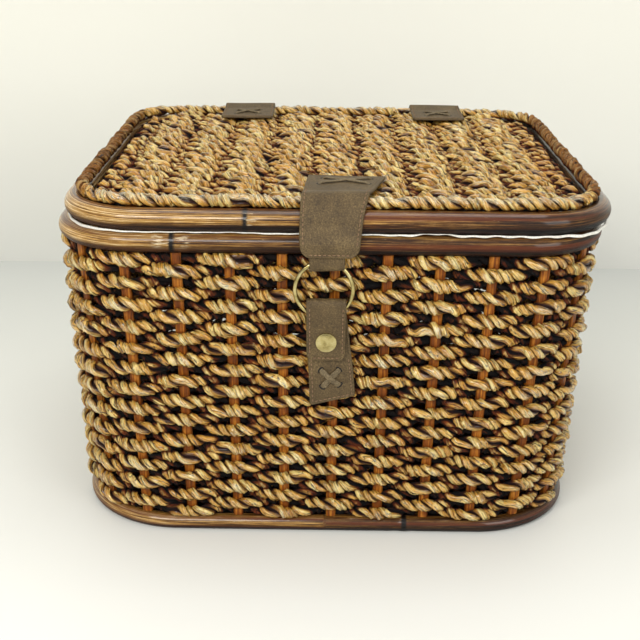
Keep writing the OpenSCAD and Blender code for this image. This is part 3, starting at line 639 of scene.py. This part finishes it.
def wall_rows():
    """The wall's ropes, five rows to a piece."""
    groups, group = [], []
    s = np.linspace(0, MID_ROUND, 700, endpoint=False)
    u = s / MID_ROUND
    for j in range(ROWS):
        gen = np.random.default_rng(100 + j)
        low, high = furrow_z(j), furrow_z(j + 1)
        pitch = high - low
        c = over_under(s, 1 if (ROWS - 1 - j) % 2 == 0 else -1)
        wob = swell(u, (5, 9, 14, 22, 31, 43), gen)
        z = np.clip((low + high) / 2 + 0.55 * wob, WALL_Z0 + pitch * 0.5, WALL_Z1 - pitch * 0.46)
        p, n = wall_at(s, z, ROW_STEP * c + 0.25 * wob)
        mid = wall_at(s, z, 0 * c)[0]
        full = 1.02 + 0.12 * np.maximum(c, -0.1) + 0.05 * swell(u, (21, 37, 53), gen)
        group += two_ply(p, n, pitch * 1.19, 19.0 + gen.uniform(-1.5, 1.5), True, gen, ROPE_SIDES, ROPE_LOOSE,
                          mid, full)
        if j % 5 == 4 or j == ROWS - 1:
            groups.append(group)
            group = []
    for i, g in enumerate(groups):
        v, f, a = join_parts(g)
        ob = dress(new_mesh("wall_rope_rows_%d" % (i + 1), v, f, attrs=a), ROPE)
        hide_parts("woven_wall")
        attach(ob, "basket")


# ---------------------------------------------------------------- the lid's woven field
def field_edge(y, q, margin):
    """Half the width of a line, less a margin, at depth y."""
    half, r = q[0] / 2 - margin, q[2] - margin
    d = max(abs(y) - (q[1] / 2 - margin - r), 0)
    return half - r + math.sqrt(max(r * r - d * d, 0))


def flat_rows(name, q, z0, rows, shift, dia_k, lift, margin, node_name, body, seed):
    """Straight ropes from side to side, over and under the lid's stakes where lift isn't 0, in two pieces."""
    parts, made = [], 0
    reach = q[1] / 2 - margin
    step = 2 * reach / rows
    for i in range(rows):
        gen = np.random.default_rng(seed + i)
        y = -reach + (i + 0.5) * step
        ex = field_edge(y, q, margin) - 2.5
        x = np.arange(-ex, ex + 0.1, 1.9)
        c = np.cos(np.pi * (x + (LID_STAKES - 1) / 2 * LID_PITCH) / LID_PITCH) * (1 if i % 2 == 0 else -1)
        c = flatter(c)
        end = np.clip((np.abs(x) - (ex - 9)) / 9, 0, 1)
        z = z0 + lift * c * (1 - end * 0.6) - 4.5 * end ** 2 + wave(x, 0.5, 16, gen)
        yy = y + wave(x, 0.55, 24, gen)
        p = np.c_[x + shift, yy, z]
        mid = np.c_[x + shift, yy, np.full(len(x), z0)]
        n = np.tile([0.0, 0.0, 1.0], (len(x), 1))
        row = two_ply(p, n, step * dia_k, 18.5 + gen.uniform(-1.5, 1.5), False, gen, ROPE_SIDES, ROPE_LOOSE,
                      mid, 1 + 0.1 * c)
        # Painted shade: the depth value is lowered, so the ropes darken, most near the field's middle where they pass
        # from over to under.
        for part in row:
            part[2]["deep"] = np.clip(np.abs(part[2]["deep"]) - 1.4, 0, None)
        parts += row
        if (i + 1) % (rows // 2 + 1) == 0 or i == rows - 1:
            made += 1
            v, f, a = join_parts(parts)
            ob = dress(new_mesh("%s_%d" % (name, made), v, f, attrs=a), ROPE)
            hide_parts(node_name)
            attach(ob, body)
            parts = []


POLE_SIDES = 28


def pole(name, q, dia, z, shift, node_name, body, knots, seed, flat=None, worn=()):
    """A pole bent round a line, with nodes and worn places by distance and size; flat is the height of a flat foot."""
    gen = np.random.default_rng(seed)
    s, total, p, n, _ = line_round(q, 620)
    bulge, tone = np.zeros(len(s)), np.zeros(len(s))
    for ks, size in knots:
        d = np.abs(s - ks % total)
        d = np.minimum(d, total - d)
        bulge += size * (np.exp(-(d / 3.2) ** 2) - 0.5 * np.exp(-((d - 6) / 2.5) ** 2))
        tone += np.exp(-(d / 2.2) ** 4)
    path = np.c_[p[:, 0] + shift, p[:, 1], np.full(len(s), z)]
    r = dia / 2 - 0.05 + 0.06 * swell(s / total, (3, 5, 8, 13, 21), gen) + bulge
    v, f, a = tube(path, np.c_[n, np.zeros(len(n))], r, POLE_SIDES, True, s, tone=tone, seed=gen.uniform(0, 50))
    wear = sum([size * np.exp(-((s - ws % total) / 6.0) ** 2) for ws, size in worn], np.zeros(len(s)))
    a["cav"] = np.repeat(wear, POLE_SIDES) * (0.55 + 0.45 * a["cav"])
    if flat is not None:
        v[:, 2] = np.maximum(v[:, 2], flat)
    ob = dress(new_mesh(name, v, f, attrs=a), POLE)
    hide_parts(node_name)
    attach(ob, body)


def border_rope():
    """The twisted rope round the lid, darker at its two sides: painted shade, by a lower depth value there."""
    gen = np.random.default_rng(77)
    s, total, p, n, _ = line_round(BORDER_LINE, 760)
    wob = swell(s / total, (4, 7, 12, 19, 28), gen)
    path = np.c_[p[:, 0] + LID_SHIFT, p[:, 1], BORDER_Z + 0.3 * wob]
    up = unit(np.c_[n * 0.3, np.ones(len(n))])
    parts = two_ply(path, up, BORDER_D, 17.5, True, gen, 10, 0.1, path - up * 6, 1 + 0.03 * wob)
    for part in parts:
        # Painted shade: the depth value is capped lower towards the lid's two sides, so the rope darkens there.
        to_side = np.clip((np.abs(part[0][:, 0] - LID_SHIFT) - 168) / 14, 0, 1)
        part[2]["deep"] = np.minimum(part[2]["deep"], 9 - 6.0 * to_side)
    v, f, a = join_parts(parts)
    ob = dress(new_mesh("lid_border_twist", v, f, attrs=a), ROPE)
    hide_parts("lid_border_rope")
    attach(ob, "lid")


wall_rows()
flat_rows("lid_rope_rows", FIELD_LINE, FIELD_Z - 1.6, 37, LID_SHIFT, 1.2, 4.6, 1.5, "lid_weave", "lid", 300)
flat_rows("floor_rope_rows", inward(BASE_LINE, 6.3), 6.7, 40, 0.0, 0.94, 0.0, 1.0, "base_panel", "basket", 500)
border_rope()
pole("lid_pole", LID_LINE, LID_D, LID_Z, LID_SHIFT, "lid_ring", "lid",
     [(-64, 0.2), (240, 0.2), (560, 0.2), (820, 0.2), (1120, 0.2)], 5,
     worn=((-60, 0.7), (246, 0.8), (1126, 0.8)))
pole("rim_pole", RIM_LINE, RIM_D, RIM_Z, 0.0, "rim_ring", "basket",
     [(-110, 0.22), (300, 0.2), (640, 0.2), (930, 0.2)], 6,
     worn=((-119, 1.2), (-101, 1.2), (306, 1.0), (634, 1.0)))
pole("base_pole", BASE_LINE, BASE_D, BASE_Z, 0.0, "base_ring", "basket",
     [(60, 0.3), (420, 0.3), (800, 0.3), (1050, 0.3)], 8, flat=0.0)
for name in ("stakes_front", "stakes_right", "stakes_back", "stakes_left", "lid_stakes"):
    dress(NODES[name], STAKE)
for name in ("o_ring", "snap_cap", "snap_socket", "snap_stud"):
    dress(NODES[name], BRASS)


def edging():
    """The white edging under the lid's pole, fuller at the corners and on the front's right."""
    gen = np.random.default_rng(91)
    s, total, p, n, corner = line_round(inward(LID_LINE, -4.2), 900)
    w = swell(s / total, (7, 11, 19, 31, 47, 83), gen)
    front = np.clip((-p[:, 1] - 120) / 30, 0, 1)
    right = front * np.clip((p[:, 0] - 30) / 20, 0, 1)
    w = w * (0.35 + 0.65 * right)
    out = 0.1 + 0.5 * w + 1.6 * corner + 0.9 * right
    path = np.c_[p + n * out[:, None] + [LID_SHIFT, 0], 239.75 - 0.3 * w - 0.25 * corner]
    r = 0.46 + 0.2 * w + 0.56 * corner + 0.3 * right
    v, f, a = tube(path, np.c_[n, np.zeros(len(n))], np.clip(r, 0.3, 1.1), 8, True, s)
    ob = dress(new_mesh("lid_edging", v, f, attrs=a), EDGING)
    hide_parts("lid_edge_cord")
    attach(ob, "lid")


edging()

# ---------------------------------------------------------------- leather
STITCH, STITCH_GAP, STITCH_IN = 2.1, 1.1, 2.4


def resample(points, step):
    """Even steps along a path in outward distance and height, with its corners softened."""
    p = np.array(points, float)
    d = np.r_[0, np.cumsum(np.linalg.norm(np.diff(p, axis=0), axis=1))]
    n = max(int(d[-1] / step), 4)
    t = np.linspace(0, d[-1], n + 1)
    q = np.c_[np.interp(t, d, p[:, 0]), np.interp(t, d, p[:, 1])]
    for _ in range(2):
        q[1:-1] = (q[:-2] + 2 * q[1:-1] + q[2:]) / 4
    return q


def turn_arc(c, r, a, b, n):
    """Points of an arc about c from angle a to angle b, in degrees."""
    t = np.radians(np.linspace(a, b, n + 1))
    return [(c[0] + r * math.cos(x), c[1] + r * math.sin(x)) for x in t]


class Strap:
    """A flat strap along a path: a surface with rounded edges that gives its points by distance along and across."""

    def __init__(self, path, face, middle, width, thick, seed, corners, ripple, skew=None, lean=0.0,
                 origin=(0.0, 0.0, 0.0)):
        self.q = resample(path, 1.25)
        self.n = np.c_[-np.gradient(self.q[:, 1]), np.gradient(self.q[:, 0])]
        self.n /= np.linalg.norm(self.n, axis=1, keepdims=True)
        self.s = np.r_[0, np.cumsum(np.linalg.norm(np.diff(self.q, axis=0), axis=1))]
        self.total = self.s[-1]
        self.face, self.middle, self.width, self.t = face, middle, width, thick
        self.corners, self.skew, self.ripple = corners, skew, ripple
        self.lean, self.origin = lean, origin
        gen = np.random.default_rng(seed)
        self.waves = [(gen.uniform(9, 26), gen.uniform(8, 22), gen.uniform(0, 6.28), gen.uniform(-1, 1))
                      for _ in range(6)]

    def half(self, s):
        """Half the width at s, less at the rounded corners of the ends."""
        w = np.interp(s, self.width[0], self.width[1]) / 2
        for r, d in ((self.corners[0], s), (self.corners[1], self.total - s)):
            k = np.clip(d / r, 0, 1)
            w = w - r + r * np.sqrt(np.maximum(1 - (1 - k) ** 2, 0))
        return w

    def mid(self, s):
        return np.interp(s, self.middle[0], self.middle[1])

    def relief(self, s, x):
        """The leather's slight waviness."""
        z = 0 * x
        for a, b, c, d in self.waves:
            z = z + d * np.sin(s / a + c) * np.cos(x / b + c * 2)
        return self.ripple * z / 2

    def at(self, s, x, out, stitched=True):
        """A point: s along, x across from the middle, out from the middle surface, in millimetres."""
        s, x = np.asarray(s, float), np.asarray(x, float)
        edge = np.minimum(self.half(s) - np.abs(x), np.minimum(s, self.total - s))
        round_off = np.sqrt(np.clip(1 - (1 - np.clip(edge / 0.9, 0, 1)) ** 2, 0, 1))
        seam = 0.28 * np.exp(-((edge - STITCH_IN) / 0.55) ** 2) if stitched else 0
        seam = np.sign(out) * seam * (np.abs(out) >= self.t / 2 - 1e-6)
        o = np.where(np.abs(out) <= self.t / 2 + 1e-6, out * round_off, out) - seam + self.relief(s, x)
        u = np.interp(s, self.s, self.q[:, 0]) + np.interp(s, self.s, self.n[:, 0]) * o
        z = np.interp(s, self.s, self.q[:, 1]) + np.interp(s, self.s, self.n[:, 1]) * o
        if self.skew is not None:
            z = z + np.interp(s, self.skew[0], self.skew[1]) * x
        y = -u if self.face == "front" else u
        c, sn = math.cos(self.lean), math.sin(self.lean)
        ox, oy, oz = self.origin
        return np.stack([self.mid(s) + x + ox, oy + y * c - z * sn, oz + y * sn + z * c], -1)

    def mesh(self):
        close = np.array([0, 0.2, 0.5, 0.9, 1.4])
        s = np.unique(np.r_[close, self.s, self.total - close])
        s = s[np.r_[True, np.diff(s) > 0.05]]
        s[-1] = self.total
        h = self.half(s)[:, None]
        inner = np.array([0, 0.2, 0.5, 0.9, 1.5, 2.0, 2.4, 2.8, 3.4])
        left = -h + np.minimum(inner[None], h)
        fill = np.linspace(-1, 1, 22)[None] * np.maximum(h - 3.9, 0)
        x = np.hstack([left, fill, -left[:, ::-1]])
        ss = np.repeat(s[:, None], x.shape[1], 1)
        top, low = self.at(ss, x, self.t / 2), self.at(ss, x, -self.t / 2)
        m = x.shape[1]
        ring = np.concatenate([top, low[:, ::-1][:, 1:-1]], 1)
        k = ring.shape[1]
        under = [b if b in (0, m - 1) else k - b for b in range(m)]
        caps = [[row * k + b for b in (a, a + 1, under[a + 1], under[a])]
                for row in (0, len(s) - 1) for a in range(m - 1)]
        return ring.reshape(-1, 3), np.vstack([quads(len(s), k), caps])

    def stitches(self, side, s_from, s_to, ends):
        """Small raised stitches along both edges from s_from to s_to, and across the strap at each of ends."""
        spots = []
        for sign in (-1, 1):
            a = s_from
            while a + STITCH < s_to:
                c = np.array([a, a + STITCH])
                spots.append((c, sign * (self.half(c) - STITCH_IN)))
                a += STITCH + STITCH_GAP
        for c in ends:
            w = self.half(c) - STITCH_IN - 1.5
            a = -w
            while a + STITCH < w:
                spots.append((np.array([c, c]), np.array([a, a + STITCH])))
                a += STITCH + STITCH_GAP
        vs, fs = [], []
        th = np.linspace(0, 2 * np.pi, 6, endpoint=False)
        rings = ((-1.0, 0.12), (-0.8, 0.32), (0, 0.4), (0.8, 0.32), (1.0, 0.12))
        for c, x in spots:
            p = self.at(c, x, side * (self.t / 2 - 0.12))
            q = self.at(c, x, side * (self.t / 2 + 1.0))
            d, up = unit((p[1] - p[0])[None])[0], unit((q - p).mean(0)[None])[0]
            sd = np.cross(d, up)
            ln = np.linalg.norm(p[1] - p[0]) / 2
            for a, r in rings:
                round_off = r * (np.cos(th)[:, None] * sd + 0.85 * np.sin(th)[:, None] * up)
                vs.append(p.mean(0) + d * ln * a + round_off + up * 0.1 * (1 - abs(a)))
            fs.append(quads(len(rings), len(th)) + len(fs) * len(rings) * len(th))
        return np.vstack(vs), np.vstack(fs)


def strap_piece(name, strap, nodes, seams=()):
    """A strap with seams of stitches, each given by its side, from, to, and the places of the rows across."""
    parts = [(*strap.mesh(), {})] + [(*strap.stitches(*seam), {}) for seam in seams]
    v, f, _ = join_parts(parts)
    slots = np.repeat([0] + [1] * len(seams), [len(part[1]) for part in parts])
    ob = dress(new_mesh(name, v, f, slots=slots), (LEATHER, THREAD))
    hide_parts(*nodes)
    return ob


def lacing(name, strap, side, centre, size, nodes, body, wide, rise=1.0, swap=False):
    """Two crossed thongs that come out of holes in a strap; the second lies over the first. Each hole is a dark disc
    of painted shade laid on the strap.
    """
    parts, slots, sides = [], [], 12
    th = np.linspace(0, 2 * np.pi, sides, endpoint=False)
    gen = np.random.default_rng(int(abs(centre[1]) * 10 + 3))
    for layer, sign in enumerate((1, -1) if swap else (-1, 1)):
        k = np.linspace(-1, 1, 25)
        x = centre[0] + k * (size[0] / 2) + gen.uniform(-0.3, 0.3)
        s = centre[1] + k * (size[1] / 2 * sign)
        lift = np.where(np.abs(k) > 0.86, (1 - np.abs(k)) / 0.14, 1) * 1.5 - 0.75
        lift = lift + (rise * 0.9 * np.exp(-(k / 0.33) ** 2) if layer else 0)
        top = strap.at(s, x, side * (strap.t / 2 + 0.35), False)
        up = strap.at(s, x, side * (strap.t / 2 + 2.35), False) - top
        p = top + unit(up) * lift[:, None]
        d = unit(np.gradient(p, axis=0))
        sd = unit(np.cross(d, up))
        nn = np.cross(sd, d)
        ww = wide / 2 * (1 + 0.06 * np.sin(7 * k + layer)) * np.where(np.abs(k) > 0.9, 0.85, 1)
        shape = np.sign(np.cos(th)) * np.abs(np.cos(th)) ** 0.7
        thong = p[:, None] + ww[:, None, None] * shape[None, :, None] * sd[:, None]
        thong = thong + 0.62 * np.sin(th)[None, :, None] * nn[:, None]
        parts.append((thong.reshape(-1, 3), quads(len(k), sides), {}))
        slots.append(0)
        dx, ds = x[-1] - x[0], s[-1] - s[0]
        ln = math.hypot(dx, ds)
        # At each end of the thong, a dark disc laid on the strap stands for the hole: painted shade.
        for end in (0, -1):
            hole = []
            for q in np.linspace(0.02, 1, 4):
                a, b = 1.5 * q * np.cos(th), (wide / 2 + 0.75) * q * np.sin(th)
                hs, hx = s[end] + a * ds / ln + b * dx / ln, x[end] + a * dx / ln - b * ds / ln
                hole.append(strap.at(hs, hx, side * (strap.t / 2 + 0.09 - 0.05 * q), False))
            parts.append((np.concatenate(hole), quads(len(hole), sides), {}))
            slots.append(1)
    v, f, _ = join_parts(parts)
    slots = np.repeat(slots, [len(part[1]) for part in parts])
    ob = dress(new_mesh(name, v, f, slots=slots), (THONG, HOLE_SHADE))
    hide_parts(*nodes)
    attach(ob, body)


LID_LEATHER_Z = 263.95
ROPE_AT = (BORDER_LINE[1] / 2, BORDER_Z)
POLE_AT = (LID_LINE[1] / 2, LID_Z)
OVER_ROPE, OVER_POLE = 6.2, 9.75
FIELD_END = FIELD_LINE[1] / 2 - 2


def edge_path(start):
    """A strap's way from the lid's field over the border rope and the pole."""
    slant = math.atan2(ROPE_AT[1] - POLE_AT[1], ROPE_AT[0] - POLE_AT[0])
    turn = math.degrees(slant - math.acos((OVER_POLE - OVER_ROPE) / math.dist(ROPE_AT, POLE_AT)))
    return ([(start, LID_LEATHER_Z), (FIELD_END - 6, LID_LEATHER_Z)]
            + turn_arc(ROPE_AT, OVER_ROPE, 96, turn, 6) + turn_arc(POLE_AT, OVER_POLE, turn, 0, 6))


# The flap: sewn end on the lid, free end over the poles
flap = Strap(edge_path(110) + [(188.9, LID_Z - 12), (188.9, 225.9)], "front",
             ([0, 47, 76, 90, 140], [12.2, 4.9, 1.0, 0.0, -0.2]),
             ([0, 44, 78, 92, 110, 140], [57.5, 50.0, 44.0, 42.6, 38.5, 37.0]),
             2.4, 21, corners=(1.5, 7.0), ripple=0.5)
ob = strap_piece("flap_leather", flap, ("flap_anchor", "front_flap"),
                 [(1, 40, flap.total - 8, [flap.total - STITCH_IN])])
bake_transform(ob)
lacing("flap_thongs", flap, 1, (1.5, 18.5), (36, 17), ("flap_lacing",), "lid", 3.4, rise=0.5)

# The catch strap and the layer that is snapped down: one strap folded over the ring's wire
FOLD = (-1.8, -184.35, 191.4)
catch_path = [(-2.8, 114.5 - FOLD[2]), (-2.8, 0)] + turn_arc((0, 0), 2.8, 180, 0, 16)[1:] \
    + [(2.8, -11.75), (0.8, 147.9 - FOLD[2])]
catch = Strap(catch_path, "front", ([0, 20, 70, 90, 128], [5.2, 4.0, -0.1, -0.2, 0.0]),
              ([0, 25, 66, 85, 128], [33.0, 32.2, 28.4, 28.2, 27.8]),
              2.0, 22, corners=(2.0, 5.5), ripple=0.25, skew=([0, 22, 34], [0.26, 0.06, 0]),
              lean=math.radians(1.2163), origin=FOLD)
ob = strap_piece("catch_leather", catch, ("catch_strap", "snap_strap"),
                 [(1, 88, catch.total - 6, [catch.total - STITCH_IN]), (-1, STITCH_IN, 34, [STITCH_IN])])
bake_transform(ob)
lacing("catch_thongs", catch, -1, (-0.4, 18.6), (13.0, 13.0), ("catch_lacing",), "basket", 4.2, rise=1.5, swap=True)

# The hinge straps, alike but for their place
HINGE_Y = 182.5
for side, x, seed in (("left", -77.0, 31), ("right", 100.5, 32)):
    name = "hinge_%s" % side
    path = edge_path(114) + [(HINGE_Y, 239.35), (HINGE_Y, RIM_Z), (HINGE_Y, WALL_Z1), (WALL_HEAD[1] / 2 + 9.0, 176.0)]
    h = Strap(path, "back", ([0, 200], [x, x]), ([0, 60, 200], [48.0, 47.5, 48.0]), 2.4, seed,
              corners=(2.0, 4.0), ripple=0.4)
    ob = strap_piece(name + "_leather", h, (name + "_upper", name + "_lower"),
                     [(1, 3, h.total - 4, [STITCH_IN, h.total - STITCH_IN])])
    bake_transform(ob)
    lacing(name + "_upper_thongs", h, 1, (0.0, 20.0), (22, 17), (name + "_upper_lacing",), "lid", 3.4, rise=0.7)
    lacing(name + "_lower_thongs", h, 1, (0.0, h.total - 20.0), (18, 18), (name + "_lower_lacing",), "basket", 3.4)

# The leather loop that hangs from under the flap and wraps the ring's wire
path = [(187.2, 232.0), (187.3, 219.0)] + turn_arc((184.35, 218.6), 2.95, 0, -180, 14)[1:] + [(181.4, 229.0)]
loop = Strap(path, "front", ([0, 60], [-1.9, -1.9]), ([0, 12, 22, 60], [25.5, 24.6, 24.4, 25.0]), 1.4, 41,
             corners=(1.5, 1.5), ripple=0.15, skew=([0, 8, 22, 40], [0.0, 0.05, 0.05, 0.0]))
ob = strap_piece("ring_loop_leather", loop, ("ring_loop",))
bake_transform(ob)

# ---------------------------------------------------------------- floor, backdrop, light and camera
def stage_material(name, near, far, axis, start, end):
    """A pale surface that goes evenly from one colour to the other along an axis: painted light and shade over the
    floor and backdrop.
    """
    m, nt, b = material(name)
    b.inputs["Roughness"].default_value = 0.6
    t = madd(nt, xyz(nt, coord(nt))[axis], 1 / (end - start), -start / (end - start))
    nt.links.new(ramp(nt, [(0, near), (1, far)], t), b.inputs["Base Color"])
    # From behind, the surface lets the object show
    mix = nt.nodes.new("ShaderNodeMixShader")
    nt.links.new(nt.nodes.new("ShaderNodeNewGeometry").outputs["Backfacing"], mix.inputs[0])
    nt.links.new(b.outputs[0], mix.inputs[1])
    nt.links.new(nt.nodes.new("ShaderNodeBsdfTransparent").outputs[0], mix.inputs[2])
    out = next(n for n in nt.nodes if n.type == "OUTPUT_MATERIAL")
    nt.links.new(mix.outputs[0], out.inputs["Surface"])
    return m


def plane(name, corners, mat):
    me = bpy.data.meshes.new(name)
    me.from_pydata(corners, [], [(0, 1, 2, 3)])
    ob = bpy.data.objects.new(name, me)
    bpy.context.scene.collection.objects.link(ob)
    me.materials.append(mat)


# Painted shade: the floor darkens towards the backdrop, and the backdrop darkens towards the floor.
floor_m = stage_material("pale_floor", srgb(232, 232, 226), srgb(206, 208, 203), "Y", -0.35, 0.45)
wall_m = stage_material("pale_wall", srgb(221, 221, 214), srgb(232, 231, 220), "Z", 0.0, 0.3)
WALL_Y = 0.478
plane("floor", [(-6, -4, 0), (6, -4, 0), (6, WALL_Y, 0), (-6, WALL_Y, 0)], floor_m)
plane("backdrop", [(-6, WALL_Y, 0), (6, WALL_Y, 0), (6, WALL_Y, 5), (-6, WALL_Y, 5)], wall_m)

world = bpy.data.worlds.new("studio")
bpy.context.scene.world = world
world.use_nodes = True
world.node_tree.nodes["Background"].inputs[0].default_value = (1.0, 0.985, 0.96, 1)
world.node_tree.nodes["Background"].inputs[1].default_value = 0.40


def area(name, at, to, size, power, color=(1, 1, 1)):
    d = bpy.data.lights.new(name, "AREA")
    d.shape = "RECTANGLE"
    d.size, d.size_y = size
    d.energy = power
    d.color = color
    o = bpy.data.objects.new(name, d)
    o.location = at
    o.rotation_euler = (Vector(to) - Vector(at)).to_track_quat("-Z", "Y").to_euler()
    bpy.context.scene.collection.objects.link(o)


area("key", (-0.6, -1.4, 1.1), (0, 0, 0.15), (1.1, 0.6), 21, (1, 0.99, 0.965))
area("fill", (1.2, -1.5, 0.85), (0.1, 0, 0.12), (1.1, 1.0), 14, (0.99, 0.99, 1))
area("top", (0.0, -0.05, 1.9), (0, 0, 0.1), (1.3, 0.9), 11)

# The camera, fitted to the photograph's outlines: place in millimetres, angles in radians, focal length in pixels
EYE, YAW, PITCH, ROLL, F_PX = (-4.1, -920.0, 463.4), -0.003, 0.369, 0.012, 1120.5
fwd = Vector((math.sin(YAW) * math.cos(PITCH), math.cos(YAW) * math.cos(PITCH), -math.sin(PITCH)))
right0 = Vector((math.cos(YAW), -math.sin(YAW), 0))
up0 = right0.cross(fwd)
right = right0 * math.cos(ROLL) + up0 * math.sin(ROLL)
up = up0 * math.cos(ROLL) - right0 * math.sin(ROLL)
cam_data = bpy.data.cameras.new("camera")
cam_data.sensor_width = 36.0
cam_data.lens = F_PX / 640 * 36.0
cam = bpy.data.objects.new("camera", cam_data)
m = Matrix((right, up, -fwd)).transposed().to_4x4()
m.translation = Vector(EYE) * MM
cam.matrix_world = m
bpy.context.scene.collection.objects.link(cam)
bpy.context.scene.camera = cam
bpy.context.scene.view_settings.view_transform = "Standard"
